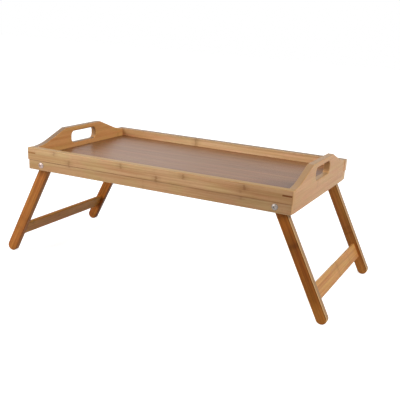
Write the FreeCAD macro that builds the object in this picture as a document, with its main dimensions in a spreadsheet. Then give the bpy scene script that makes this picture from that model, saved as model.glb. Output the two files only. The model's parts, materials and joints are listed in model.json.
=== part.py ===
"""Folding bed tray table in bamboo, in millimetres.

X runs along the tray, -Y is the front and +Z is up. The origin is on the ground,
under the middle of the tray, with the legs opened out against their stops.
"""
import FreeCAD, Part
import enum
import math
import os

import Sketcher

DOC = FreeCAD.newDocument("bed_tray_table")
SIZE = DOC.addObject("Spreadsheet::Sheet", "Size")
PLACE = DOC.addObject("Spreadsheet::Sheet", "Place")

X_AXIS = FreeCAD.Vector(1, 0, 0)
Y_AXIS = FreeCAD.Vector(0, 1, 0)
Z_AXIS = FreeCAD.Vector(0, 0, 1)
HALF_TURN = 180
QUARTER_TURN = 90
NEAR = 0.001
SIX_SIDES = 6

FRONT_AND_REAR = (("front", -1), ("rear", 1))
LEFT_AND_RIGHT = (("left", -1), ("right", 1))


class Point(enum.IntEnum):
    """How a sketch counts the points of a line or an arc."""

    START = 1
    END = 2
    CENTRE = 3


# The driving dimensions: the name of each, its value and what it measures.
DRIVING = (
    ("tray_length", "500", "outer length of the tray"),
    ("tray_width", "300", "outer width of the tray"),
    ("upper_strip", "21.5", "height of the upper strip of a long rail"),
    ("lower_strip", "17.2", "height of the lower strip of a long rail"),
    ("strip_inset", "1.2", "how far the lower strip stands back from the upper one"),
    ("rail_thickness", "14", "thickness of the upper strip of a long rail"),
    ("board_thickness", "11", "thickness of an end board"),
    ("housing_depth", "2", "how far an end board is let into the rails"),
    ("handle_rise", "24", "height of the handle over the rails"),
    ("handle_setback", "95", "from the tray's side to the handle's flat top"),
    ("shoulder_radius", "125", "radius of the hollow beside the handle"),
    ("shoulder_start", "7", "from the tray's side to where the hollow starts"),
    ("grip_height", "9", "wood left over the hand hole"),
    ("hole_length", "76", "length of the hand hole"),
    ("hole_height", "21.5", "height of the hand hole"),
    ("hole_corner", "8", "corner radius of the hand hole"),
    ("floor_depth", "15", "from the top of the rails down to the tray floor"),
    ("floor_thickness", "4", "thickness of the tray floor"),
    ("floor_tongue", "2.4", "thickness of the tongue round the floor's edge"),
    ("floor_shoulder", "0.2", "clearance round the floor's top face"),
    ("groove_depth", "5", "how far the floor's tongue enters the rails and boards"),
    ("rail_round", "1.2", "rounding of the edges of rails and boards"),
    ("hole_round", "2.2", "rounding of the edges of the hand hole"),
    ("key_length", "16", "length of a corner key along the rail"),
    ("key_height", "2.6", "thickness of a corner key"),
    ("key_drop", "9", "from the top of the rails down to the corner key"),
    ("key_skin", "1.2", "wood left at each side of a corner key"),
    ("key_tongue", "5", "how far the corner key enters the end board"),
    ("dowel_width", "6", "diameter of a corner dowel"),
    ("dowel_drop", "30", "from the top of the rails down to a corner dowel"),
    ("dowel_in_rail", "8", "length of a corner dowel in the rail"),
    ("dowel_in_board", "20", "length of a corner dowel in the end board"),
    ("leg_width", "19.5", "width of a leg, and of its round ends"),
    ("leg_thickness", "10.5", "thickness of a leg"),
    ("leg_reach", "192.2", "from the pivot to the centre of the round foot"),
    ("leg_splay", "27", "angle of an open leg from upright, in degrees"),
    ("leg_round", "1.8", "rounding of the edges of a leg"),
    ("floor_gap", "0.5", "clearance between a folded leg and the tray floor"),
    ("stop_gap", "0.3", "clearance between an open leg and its stop"),
    ("crossbar_width", "27", "width of a crossbar, along the legs"),
    ("crossbar_thickness", "6", "thickness of a crossbar"),
    ("crossbar_drop", "153.5", "from the pivot to the middle of the crossbar"),
    ("crossbar_round", "1.2", "rounding of the edges of a crossbar"),
    ("tenon_shoulder", "1", "how far a crossbar stands out round its tenon"),
    ("tenon_length", "6.5", "how far a tenon enters a leg"),
    ("bolt_width", "6", "diameter of a pivot bolt"),
    ("head_width", "10.5", "diameter of a pivot bolt's domed head"),
    ("head_height", "2.4", "height of a pivot bolt's domed head"),
    ("socket_width", "4", "hexagon in a pivot bolt's head, across its flats"),
    ("socket_depth", "1.6", "depth of the hexagon in a pivot bolt's head"),
    ("bolt_tip", "1", "how far a pivot bolt stands out of its nut"),
    ("running_gap", "0.08", "clearance round a pivot bolt"),
    ("side_play", "0.2", "clearance between a leg and each of its washers"),
    ("washer_width", "14", "outer diameter of a washer"),
    ("washer_thickness", "1", "thickness of a washer"),
    ("nut_width", "10", "width of a nut across its flats"),
    ("nut_height", "5", "height of a nut"),
)

# Places worked out from the driving dimensions. Heights are from the rails' top.
WORKED_OUT = (
    ("rail_height", "Size.upper_strip + Size.lower_strip"),
    ("inner_half", "Size.tray_width / 2 - Size.rail_thickness"),
    ("board_half", "Place.inner_half + Size.housing_depth"),
    ("end_face", "Size.tray_length / 2 - Size.strip_inset"),
    ("inner_end", "Place.end_face - Size.board_thickness"),
    ("floor_under", "Size.floor_depth + Size.floor_thickness"),
    ("pivot_drop", "Place.floor_under + Size.floor_gap + Size.leg_width / 2"),
    ("stop_reach", "(Size.stop_gap + Size.leg_width / 2) / cos(Size.leg_splay)"),
    ("stop_lean", "(Place.rail_height - Place.pivot_drop) * tan(Size.leg_splay)"),
    ("pivot_end", "Place.inner_end - Place.stop_lean - Place.stop_reach"),
    ("leg_drop", "Size.leg_reach * cos(Size.leg_splay) + Size.leg_width / 2"),
    ("rail_top", "Place.pivot_drop + Place.leg_drop"),
    ("washer_step", "Size.washer_thickness + Size.side_play"),
    ("leg_outside", "Place.inner_half - Place.washer_step"),
    ("leg_inside", "Place.leg_outside - Size.leg_thickness"),
    ("key_depth", "Size.rail_thickness - Size.housing_depth"),
    ("tenon_width", "Size.crossbar_width - 2 * Size.tenon_shoulder"),
    ("tenon_thickness", "Size.crossbar_thickness - 2 * Size.tenon_shoulder"),
    ("strip_face", "Size.tray_width / 2 - Size.strip_inset"),
    ("handle_half", "Size.tray_width / 2 - Size.handle_setback"),
    ("hollow_start", "Size.tray_width / 2 - Size.shoulder_start"),
    ("hole_middle", "Size.handle_rise - Size.grip_height - Size.hole_height / 2"),
)


def fill_sheets():
    """Write the driving dimensions, then the places worked out from them."""
    for row, (alias, value, meaning) in enumerate(DRIVING, 1):
        SIZE.set(f"A{row}", alias)
        SIZE.set(f"B{row}", value)
        SIZE.set(f"C{row}", meaning)
        SIZE.setAlias(f"B{row}", alias)
    for row, (alias, formula) in enumerate(WORKED_OUT, 1):
        PLACE.set(f"A{row}", alias)
        PLACE.set(f"B{row}", "=" + formula)
        PLACE.setAlias(f"B{row}", alias)
    DOC.recompute()


def bind(item, **sizes):
    """Tie properties of an object to expressions, such as x="Size.tray_length"."""
    paths = {"x": "Placement.Base.x", "y": "Placement.Base.y", "z": "Placement.Base.z"}
    for name, expression in sizes.items():
        item.setExpression(paths.get(name, name), str(expression))


def new_body(label, x="0", y="0", z="Place.rail_top", turned=False):
    """Start a sub-part whose own zero height is the top of the rails."""
    body = DOC.addObject("PartDesign::Body", label)
    body.Label = label
    if turned:
        turn = FreeCAD.Rotation(Z_AXIS, HALF_TURN)
        body.Placement = FreeCAD.Placement(FreeCAD.Vector(), turn)
    bind(body, x=x, y=y, z=z)
    return body


def new_leg_body(label, side, y):
    """Start a sub-part that hangs from a pivot and leans out by the splay."""
    body = DOC.addObject("PartDesign::Body", label)
    body.Label = label
    lean = FreeCAD.Rotation(Y_AXIS * -side, SIZE.leg_splay)
    body.Placement = FreeCAD.Placement(FreeCAD.Vector(), lean)
    bind(body, x=f"{side} * Place.pivot_end", y=y, z="Place.leg_drop")
    body.setExpression("Placement.Rotation.Angle", "Size.leg_splay")
    return body


def block(body, name, size, corner, cut=False):
    """Add or cut a box: its length, width and height, and its lowest corner."""
    kind = "PartDesign::SubtractiveBox" if cut else "PartDesign::AdditiveBox"
    item = body.newObject(kind, name)
    bind(item, Length=size[0], Width=size[1], Height=size[2])
    bind(item, x=corner[0], y=corner[1], z=corner[2])
    DOC.recompute()
    return item


def drill(body, name, width, depth, start):
    """Cut a round hole that runs along +Y from its start."""
    item = body.newObject("PartDesign::SubtractiveCylinder", name)
    along_y = FreeCAD.Rotation(X_AXIS, -QUARTER_TURN)
    item.Placement = FreeCAD.Placement(FreeCAD.Vector(), along_y)
    bind(item, Radius=f"({width}) / 2", Height=depth, x=start[0], y=start[1], z=start[2])
    DOC.recompute()
    return item


def round_edges(body, radius, wanted):
    """Round the edges of the sub-part's last feature that the test picks."""
    last = body.Tip
    names = [f"Edge{i}" for i, edge in enumerate(last.Shape.Edges, 1) if wanted(edge)]
    item = body.newObject("PartDesign::Fillet", "rounding")
    item.Base = (last, names)
    bind(item, Radius=radius)
    DOC.recompute()
    return item


def origin_plane(body, role):
    """Give one of the sub-part's own origin planes."""
    return next(item for item in body.Origin.OriginFeatures if item.Role == role)


def new_sketch(body, name, role):
    """Start a sketch on one of the sub-part's own origin planes."""
    sketch = body.newObject("Sketcher::SketchObject", name)
    sketch.AttachmentSupport = [(origin_plane(body, role), "")]
    sketch.MapMode = "FlatFace"
    return sketch


def add_lines(sketch, pairs):
    """Draw straight lines in a sketch, each between two points."""
    return [sketch.addGeometry(Part.LineSegment(FreeCAD.Vector(*a, 0), FreeCAD.Vector(*b, 0)))
            for a, b in pairs]


def tie(sketch, constraint, expression):
    """Add a dimension to a sketch and tie it to an expression."""
    index = sketch.addConstraint(constraint)
    sketch.setExpression(f"Constraints[{index}]", expression)


def set_off(sketch, edge, point, **ways):
    """Fix how far a point lies right, left, up or down of the sketch's zero."""
    zero = (-1, Point.START)
    here = sketch.getPoint(edge, point)
    for way, expression in ways.items():
        kind, value = ("DistanceX", here.x) if way in ("right", "left") else ("DistanceY", here.y)
        ends = (*zero, edge, point) if value > 0 else (edge, point, *zero)
        tie(sketch, Sketcher.Constraint(kind, *ends, abs(value)), expression)


def close_loop(sketch, edges, backwards=(), smooth=()):
    """Join each edge to the next; some run backwards, and some joints are smooth."""
    for edge, after in zip(edges, edges[1:] + edges[:1]):
        kind = "Tangent" if edge in smooth else "Coincident"
        last = Point.START if edge in backwards else Point.END
        first = Point.END if after in backwards else Point.START
        sketch.addConstraint(Sketcher.Constraint(kind, edge, last, after, first))


def pad(body, sketch, length, reverse=False):
    """Raise a sketch into a solid."""
    item = body.newObject("PartDesign::Pad", "pad")
    item.Profile = sketch
    item.Reversed = reverse
    bind(item, Length=length)
    DOC.recompute()
    return item


def in_plane(edge, axis, value):
    """Say whether all of an edge lies at one value of x, y or z."""
    low = getattr(edge.BoundBox, axis + "Min")
    high = getattr(edge.BoundBox, axis + "Max")
    return abs(low - value) < NEAR and abs(high - value) < NEAR


def upper_rail(label, turned):
    """Make the upper strip of a long rail, in the place of the front one."""
    body = new_body(label, turned=turned)
    half, outer = SIZE.tray_length / 2, -SIZE.tray_width / 2
    block(body, "strip", ("Size.tray_length", "Size.rail_thickness", "Size.upper_strip"),
          ("-Size.tray_length / 2", "-Size.tray_width / 2", "-Size.upper_strip"))

    def outside(edge):
        at_end = in_plane(edge, "X", half) or in_plane(edge, "X", -half)
        on_face = in_plane(edge, "Y", outer)
        on_top = in_plane(edge, "Z", 0)
        return (at_end and (on_face or on_top)) or (on_face and on_top)

    round_edges(body, "Size.rail_round", outside)
    cut_housings(body, "Size.tray_length / 2", "Size.upper_strip", "-Size.upper_strip")

    def inside(edge):
        return in_plane(edge, "Y", -PLACE.inner_half) and in_plane(edge, "Z", 0)

    round_edges(body, "Size.rail_round", inside)
    half_floor = "(Place.inner_end + Size.groove_depth)"
    block(body, "floor_groove", (f"2 * {half_floor}", "Size.groove_depth", "Size.floor_tongue"),
          (f"-{half_floor}", "-Place.inner_half - Size.groove_depth", "-Place.floor_under"), True)
    for side_name, side in LEFT_AND_RIGHT:
        start = key_start(side)
        block(body, f"{side_name}_key_slot", ("Size.key_length", "Place.key_depth", "Size.key_height"),
              (start, "-Size.tray_width / 2", "-Size.key_drop - Size.key_height / 2"), True)
    return body


def key_start(side):
    """Give where a corner key starts along X, on the left or the right."""
    outer_end = "(Size.tray_length / 2 - Size.key_skin)"
    return f"-{outer_end}" if side < 0 else f"{outer_end} - Size.key_length"


def cut_housings(body, rail_end, height, bottom):
    """Cut the two shallow housings that the end boards stand in."""
    length = f"{rail_end} - Place.inner_end"
    size = (length, "Size.housing_depth", height)
    back = "-Place.board_half"
    block(body, "left_housing", size, (f"-({rail_end})", back, bottom), True)
    block(body, "right_housing", size, ("Place.inner_end", back, bottom), True)


def lower_rail(label, turned):
    """Make the lower strip of a long rail, which carries two pivots."""
    body = new_body(label, turned=turned)
    thickness = "Size.rail_thickness - Size.strip_inset"
    bottom = -PLACE.rail_height
    half, outer = PLACE.end_face, -PLACE.strip_face
    block(body, "strip", ("2 * Place.end_face", thickness, "Size.lower_strip"),
          ("-Place.end_face", "-Place.strip_face", "-Place.rail_height"))

    def outside(edge):
        at_end = in_plane(edge, "X", half) or in_plane(edge, "X", -half)
        on_face = in_plane(edge, "Y", outer)
        below = in_plane(edge, "Z", bottom)
        return (at_end and (on_face or below)) or (on_face and below)

    round_edges(body, "Size.rail_round", outside)
    cut_housings(body, "Place.end_face", "Size.lower_strip", "-Place.rail_height")

    def inside(edge):
        return in_plane(edge, "Y", -PLACE.inner_half) and in_plane(edge, "Z", bottom)

    round_edges(body, "Size.rail_round", inside)
    for side_name, side in LEFT_AND_RIGHT:
        drill(body, f"{side_name}_pivot_hole", "Size.bolt_width + 2 * Size.running_gap", thickness,
              (f"{side} * Place.pivot_end", "-Place.strip_face", "-Place.pivot_drop"))
        drill(body, f"{side_name}_dowel_hole", "Size.dowel_width", "Size.dowel_in_rail",
              (dowel_x(side), "-Place.board_half - Size.dowel_in_rail", "-Size.dowel_drop"))
    return body


def dowel_x(side):
    """Give the place of a corner dowel along X: the middle of the end board."""
    return f"{side} * (Place.end_face - Size.board_thickness / 2)"


def draw_board_outline(body):
    """Draw half of an end board's outline and its mirror image, as one loop."""
    sketch = new_sketch(body, "outline", "YZ_Plane")
    edge, top = PLACE.board_half, SIZE.handle_rise
    flat, radius = PLACE.handle_half, SIZE.shoulder_radius
    start = PLACE.hollow_start
    bottom = -PLACE.rail_height
    foot = radius - (radius ** 2 - (start - edge) ** 2) ** 0.5
    lean_y, lean_z = tangent_point(start, radius, flat, top)
    straight = [
        ((-edge, bottom), (edge, bottom)),
        ((edge, bottom), (edge, foot)),
        ((lean_y, lean_z), (flat, top)),
        ((flat, top), (-flat, top)),
        ((-flat, top), (-lean_y, lean_z)),
        ((-edge, foot), (-edge, bottom)),
    ]
    lines = add_lines(sketch, straight)
    hollows = []
    for side in (1, -1):
        circle = Part.Circle(FreeCAD.Vector(side * start, radius, 0), Z_AXIS, radius)
        rays = ((side * (edge - start), foot - radius), (side * (lean_y - start), lean_z - radius))
        turns = sorted(math.atan2(rise, run) for run, rise in rays)
        hollows.append(sketch.addGeometry(Part.ArcOfCircle(circle, *turns)))
    right, left = hollows
    base, right_end, right_slope, flat_top, left_slope, left_end = lines
    loop = (base, right_end, right, right_slope, flat_top, left_slope, left, left_end)
    close_loop(sketch, loop, backwards=hollows, smooth=(right, left_slope))
    for line, level in ((base, "Horizontal"), (flat_top, "Horizontal"),
                        (right_end, "Vertical"), (left_end, "Vertical")):
        sketch.addConstraint(Sketcher.Constraint(level, line))
    set_off(sketch, right_end, Point.START, right="Place.board_half", down="Place.rail_height")
    set_off(sketch, left_end, Point.START, left="Place.board_half")
    set_off(sketch, flat_top, Point.START, right="Place.handle_half", up="Size.handle_rise")
    set_off(sketch, flat_top, Point.END, left="Place.handle_half")
    set_off(sketch, right, Point.CENTRE, right="Place.hollow_start", up="Size.shoulder_radius")
    set_off(sketch, left, Point.CENTRE, left="Place.hollow_start", up="Size.shoulder_radius")
    for arc in hollows:
        tie(sketch, Sketcher.Constraint("Radius", arc, radius), "Size.shoulder_radius")
    return sketch


def tangent_point(start, radius, flat, top):
    """Give where the handle's slope, from its flat top, touches the hollow."""
    run, rise = flat - start, top - radius
    turn = math.atan2(rise, run) + math.acos(radius / math.hypot(run, rise))
    return start + radius * math.cos(turn), radius + radius * math.sin(turn)


def end_board(label, side):
    """Make an end board with its raised handle, in the place of the left one."""
    body = new_body(label, x=f"{side} * Place.end_face", turned=side > 0)
    pad(body, draw_board_outline(body), "Size.board_thickness")
    cut_hand_hole(body)
    thickness = SIZE.board_thickness

    def of_hole(edge):
        on_face = in_plane(edge, "X", 0) or in_plane(edge, "X", thickness)
        low = PLACE.hole_middle - SIZE.hole_height / 2 - NEAR
        inside = abs(edge.CenterOfMass.y) < SIZE.hole_length / 2 + NEAR
        below_top = edge.BoundBox.ZMax < SIZE.handle_rise - NEAR
        return on_face and inside and below_top and edge.BoundBox.ZMin > low

    round_edges(body, "Size.hole_round", of_hole)

    def of_top(edge):
        on_face = in_plane(edge, "X", 0) or in_plane(edge, "X", thickness)
        over_hole = edge.BoundBox.ZMax > SIZE.handle_rise - NEAR
        return on_face and (over_hole or abs(edge.CenterOfMass.y) > PLACE.handle_half) \
            and edge.BoundBox.ZMin > -NEAR

    round_edges(body, "Size.rail_round", of_top)
    block(body, "floor_groove",
          ("Size.groove_depth", "2 * Place.board_half", "Size.floor_tongue"),
          ("Size.board_thickness - Size.groove_depth", "-Place.board_half", "-Place.floor_under"),
          True)
    for end_name, end in FRONT_AND_REAR:
        dowel_y = "-Place.board_half" if end < 0 else "Place.board_half - Size.dowel_in_board"
        drill(body, f"{end_name}_dowel_hole", "Size.dowel_width", "Size.dowel_in_board",
              ("Size.board_thickness / 2", dowel_y, "-Size.dowel_drop"))
        key_y = "-Place.board_half" if end < 0 else "Place.board_half - Size.key_tongue"
        block(body, f"{end_name}_key_slot",
              (key_tongue_length(), "Size.key_tongue", "Size.key_height"),
              ("Size.key_skin", key_y, "-Size.key_drop - Size.key_height / 2"), True)
    return body


def key_tongue_length():
    """Give the length of a corner key's tongue, inside the end board."""
    return "Size.board_thickness - 2 * Size.key_skin"


def cut_hand_hole(body):
    """Cut the hand hole, a rectangle with round corners, through an end board."""
    block(body, "hand_hole", ("Size.board_thickness", "Size.hole_length", "Size.hole_height"),
          ("0", "-Size.hole_length / 2", "Place.hole_middle - Size.hole_height / 2"), True)
    half = SIZE.hole_length / 2

    def of_corner(edge):
        upright = in_plane(edge, "Y", half) or in_plane(edge, "Y", -half)
        return upright and edge.BoundBox.XLength > SIZE.board_thickness - NEAR

    round_edges(body, "Size.hole_corner", of_corner)


def tray_floor():
    """Make the floor, with a tongue that lies in the grooves of rails and boards."""
    body = new_body("tray_floor")
    layers = (("tongue", "+ Size.groove_depth", "Size.floor_tongue", "-Place.floor_under"),
              ("panel", "- Size.floor_shoulder", "Size.floor_thickness - Size.floor_tongue",
               "-Place.floor_under + Size.floor_tongue"))
    for name, margin, thickness, bottom in layers:
        half_length = f"(Place.inner_end {margin})"
        half_width = f"(Place.inner_half {margin})"
        block(body, name, (f"2 * {half_length}", f"2 * {half_width}", thickness),
              (f"-{half_length}", f"-{half_width}", bottom))
    return body


def corner_key(label, side, end):
    """Make the thin key let in through a rail's face and into the end board."""
    body = new_body(label, turned=end > 0)
    near = side * -end
    low = "-Size.key_drop - Size.key_height / 2"
    block(body, "key", ("Size.key_length", "Place.key_depth", "Size.key_height"),
          (key_start(near), "-Size.tray_width / 2", low))
    tongue_end = "(Place.end_face - Size.key_skin)"
    tongue_x = f"-{tongue_end}" if near < 0 else f"{tongue_end} - ({key_tongue_length()})"
    block(body, "tongue", (key_tongue_length(), "Size.key_tongue", "Size.key_height"),
          (tongue_x, "-Place.board_half", low))
    return body


def leg(label, side, end):
    """Make a leg with round ends, its pivot hole and the crossbar's mortise."""
    body = new_leg_body(label, side, f"{end} * Place.leg_outside")
    pad(body, draw_leg_outline(body), "Size.leg_thickness", reverse=end < 0)
    inner_face = -end * SIZE.leg_thickness

    def of_outline(edge):
        return in_plane(edge, "Y", 0) or in_plane(edge, "Y", inner_face)

    round_edges(body, "Size.leg_round", of_outline)
    hole_start = "0" if end < 0 else "-Size.leg_thickness"
    drill(body, "pivot_hole", "Size.bolt_width + 2 * Size.running_gap", "Size.leg_thickness",
          ("0", hole_start, "0"))
    mortise_start = "Size.leg_thickness - Size.tenon_length" if end < 0 else "-Size.leg_thickness"
    block(body, "mortise", ("Place.tenon_thickness", "Size.tenon_length", "Place.tenon_width"),
          ("-Place.tenon_thickness / 2", mortise_start,
           "-Size.crossbar_drop - Place.tenon_width / 2"), True)
    return body


def draw_leg_outline(body):
    """Draw a leg's outline, two half circles joined by straight sides."""
    sketch = new_sketch(body, "outline", "XZ_Plane")
    radius, reach = SIZE.leg_width / 2, SIZE.leg_reach
    round_top = Part.Circle(FreeCAD.Vector(), Z_AXIS, radius)
    round_foot = Part.Circle(FreeCAD.Vector(0, -reach, 0), Z_AXIS, radius)
    top = sketch.addGeometry(Part.ArcOfCircle(round_top, 0, math.pi))
    foot = sketch.addGeometry(Part.ArcOfCircle(round_foot, math.pi, 2 * math.pi))
    straight = (((-radius, 0), (-radius, -reach)), ((radius, -reach), (radius, 0)))
    left, right = add_lines(sketch, straight)
    loop = (top, left, foot, right)
    close_loop(sketch, loop, smooth=loop)
    sketch.addConstraint(Sketcher.Constraint("Coincident", top, Point.CENTRE, -1, Point.START))
    sketch.addConstraint(Sketcher.Constraint("Vertical", left))
    tie(sketch, Sketcher.Constraint("Radius", top, radius), "Size.leg_width / 2")
    set_off(sketch, foot, Point.CENTRE, down="Size.leg_reach")
    return sketch


def crossbar(label, side):
    """Make the flat bar between two legs, with a tenon at each end."""
    body = new_leg_body(label, side, "0")
    block(body, "bar", ("Size.crossbar_thickness", "2 * Place.leg_inside", "Size.crossbar_width"),
          ("-Size.crossbar_thickness / 2", "-Place.leg_inside",
           "-Size.crossbar_drop - Size.crossbar_width / 2"))

    def along_bar(edge):
        return edge.BoundBox.YLength > PLACE.leg_inside

    round_edges(body, "Size.crossbar_round", along_bar)
    half = "(Place.leg_inside + Size.tenon_length)"
    block(body, "tenons", ("Place.tenon_thickness", f"2 * {half}", "Place.tenon_width"),
          ("-Place.tenon_thickness / 2", f"-{half}",
           "-Size.crossbar_drop - Place.tenon_width / 2"))
    return body


def cylinder(name, width, height, z="0"):
    """Make a round bar that stands on its own z."""
    item = DOC.addObject("Part::Cylinder", name)
    bind(item, Radius=f"({width}) / 2", Height=height, z=z)
    return item


def hexagon(name, flats, height, z="0"):
    """Make a six-sided bar of the given width across its flats."""
    item = DOC.addObject("Part::Prism", name)
    item.Polygon = SIX_SIDES
    bind(item, Circumradius=f"{flats} / 2 / cos(180 / {SIX_SIDES})", Height=height, z=z)
    return item


def join(kind, name, base, tool):
    """Combine two solids by a cut, a fuse or a common."""
    item = DOC.addObject(f"Part::{kind}", name)
    item.Base = base
    item.Tool = tool
    return item


def pivot_bolt(name):
    """Make a bolt whose +Z runs into the tray, with its head below z = 0."""
    in_wood = "Size.rail_thickness - Size.strip_inset + Size.leg_thickness"
    in_metal = "2 * Place.washer_step + Size.nut_height + Size.bolt_tip"
    shank = cylinder(f"{name}_shank", "Size.bolt_width", f"{in_wood} + {in_metal}")
    rim = cylinder(f"{name}_rim", "Size.head_width", "Size.head_height", "-Size.head_height")
    ball = DOC.addObject("Part::Sphere", f"{name}_ball")
    ball_radius = "(((Size.head_width / 2)^2 + Size.head_height^2) / (2 * Size.head_height))"
    bind(ball, Radius=ball_radius, z=f"{ball_radius} - Size.head_height")
    dome = join("Common", f"{name}_dome", rim, ball)
    blank = join("Fuse", f"{name}_blank", shank, dome)
    socket = hexagon(f"{name}_socket", "Size.socket_width", "Size.socket_depth", "-Size.head_height")
    return join("Cut", name, blank, socket)


def washer(name):
    """Make a washer that lies from z = 0 up, round the bolt."""
    disc = cylinder(f"{name}_disc", "Size.washer_width", "Size.washer_thickness")
    hole = cylinder(f"{name}_hole", "Size.bolt_width + 2 * Size.running_gap", "Size.washer_thickness")
    return join("Cut", name, disc, hole)


def nut(name):
    """Make a nut that lies from z = 0 up, on the bolt."""
    block_of_nut = hexagon(f"{name}_body", "Size.nut_width", "Size.nut_height")
    hole = cylinder(f"{name}_hole", "Size.bolt_width", "Size.nut_height")
    return join("Cut", name, block_of_nut, hole)


def dowel(name):
    """Make a dowel from z = 0 up."""
    return cylinder(name, "Size.dowel_width", "Size.dowel_in_rail + Size.dowel_in_board")


def four_of(label, make, x, y, z):
    """Set four copies of a fastener at the corners, each with +Z into the tray."""
    copies = []
    for end_name, end in FRONT_AND_REAR:
        for side_name, side in LEFT_AND_RIGHT:
            copy = make(f"{label}_{end_name}_{side_name}")
            turn = FreeCAD.Rotation(X_AXIS, end * QUARTER_TURN)
            copy.Placement = FreeCAD.Placement(FreeCAD.Vector(), turn)
            bind(copy, x=f"{side} * ({x})", y=f"{end} * ({y})", z=z)
            copies.append(copy)
    group = DOC.addObject("Part::Compound", label)
    group.Label = label
    group.Links = copies
    return group


def build():
    """Make every sub-part of the table."""
    parts = []
    for end_name, end in FRONT_AND_REAR:
        parts.append(upper_rail(f"{end_name}_upper_rail", turned=end > 0))
        parts.append(lower_rail(f"{end_name}_lower_rail", turned=end > 0))
    for side_name, side in LEFT_AND_RIGHT:
        parts.append(end_board(f"{side_name}_end_board", side))
        parts.append(crossbar(f"{side_name}_crossbar", side))
    parts.append(tray_floor())
    for end_name, end in FRONT_AND_REAR:
        for side_name, side in LEFT_AND_RIGHT:
            parts.append(corner_key(f"{end_name}_{side_name}_corner_key", side, end))
            parts.append(leg(f"{end_name}_{side_name}_leg", side, end))
    pivot = {"x": "Place.pivot_end", "z": "Place.leg_drop"}
    inner_washer = "Place.leg_inside - Size.side_play"
    parts.append(four_of("pivot_bolts", pivot_bolt, y="Place.strip_face", **pivot))
    parts.append(four_of("spacer_washers", washer, y="Place.inner_half", **pivot))
    parts.append(four_of("nut_washers", washer, y=inner_washer, **pivot))
    parts.append(four_of("lock_nuts", nut, y=f"{inner_washer} - Size.washer_thickness", **pivot))
    parts.append(four_of("corner_dowels", dowel, x=dowel_x(1),
                         y="Place.board_half + Size.dowel_in_rail",
                         z="Place.rail_top - Size.dowel_drop"))
    return parts


def check(parts):
    """Stop if anything in the document failed or a sub-part isn't sound."""
    for item in DOC.Objects:
        if "Invalid" in item.State or "Error" in item.State:
            raise RuntimeError(f"{item.Label} did not build: {item.State}")
    for part in parts:
        if part.Shape.isNull() or not part.Shape.isValid():
            raise RuntimeError(f"{part.Label} is not a sound shape")


def write(parts):
    """Write one file for each sub-part, named after it."""
    os.makedirs("parts", exist_ok=True)
    for part in parts:
        part.Shape.exportStep(f"parts/{part.Label}.step")
        solids = len(part.Shape.Solids)
        print(f"{part.Label}: {solids} solid(s), {part.Shape.Volume / 1000:.2f} cm3")


fill_sheets()
PARTS = build()
DOC.recompute()
check(PARTS)
write(PARTS)
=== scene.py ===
"""Bamboo bed tray table with folding legs, finished and lit for its picture.

Everything is in metres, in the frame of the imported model: X runs along the tray,
-Y is its front and +Z is up.
"""
import json
import math

import bmesh
import bpy
from mathutils import Matrix, Vector

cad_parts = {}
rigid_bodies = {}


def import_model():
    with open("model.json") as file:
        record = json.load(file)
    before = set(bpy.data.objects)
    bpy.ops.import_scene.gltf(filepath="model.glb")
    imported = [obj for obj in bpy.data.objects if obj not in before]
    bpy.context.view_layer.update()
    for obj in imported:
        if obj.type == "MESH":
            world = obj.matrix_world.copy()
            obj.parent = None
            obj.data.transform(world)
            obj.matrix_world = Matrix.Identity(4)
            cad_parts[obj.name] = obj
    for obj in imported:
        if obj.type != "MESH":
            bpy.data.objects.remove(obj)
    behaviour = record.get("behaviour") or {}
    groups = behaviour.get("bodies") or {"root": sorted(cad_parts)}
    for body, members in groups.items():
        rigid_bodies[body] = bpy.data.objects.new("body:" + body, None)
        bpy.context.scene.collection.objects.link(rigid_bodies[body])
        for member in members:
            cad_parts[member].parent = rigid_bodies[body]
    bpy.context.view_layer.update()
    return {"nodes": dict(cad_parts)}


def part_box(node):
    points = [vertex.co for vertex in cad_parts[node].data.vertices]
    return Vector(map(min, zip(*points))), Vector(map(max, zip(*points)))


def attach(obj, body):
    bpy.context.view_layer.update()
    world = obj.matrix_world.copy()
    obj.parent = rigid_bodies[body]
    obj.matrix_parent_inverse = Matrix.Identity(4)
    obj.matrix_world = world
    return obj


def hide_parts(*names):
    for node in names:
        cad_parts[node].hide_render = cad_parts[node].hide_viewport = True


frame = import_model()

NODES = frame["nodes"]
MM = 0.001
RAILS = ("front_upper_rail", "front_lower_rail", "rear_upper_rail", "rear_lower_rail")
METAL_PIECES = ("pivot_bolts", "spacer_washers", "nut_washers", "lock_nuts")

# The pivots of the leg frames, and how far the legs lean outwards when open.
PIVOT_REACH = 0.2217056
PIVOT_HEIGHT = 0.1810015
PIVOT = {"left": (-PIVOT_REACH, 0.0, PIVOT_HEIGHT),
         "right": (PIVOT_REACH, 0.0, PIVOT_HEIGHT)}
LEG_SPLAY = math.radians(27.0)

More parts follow.
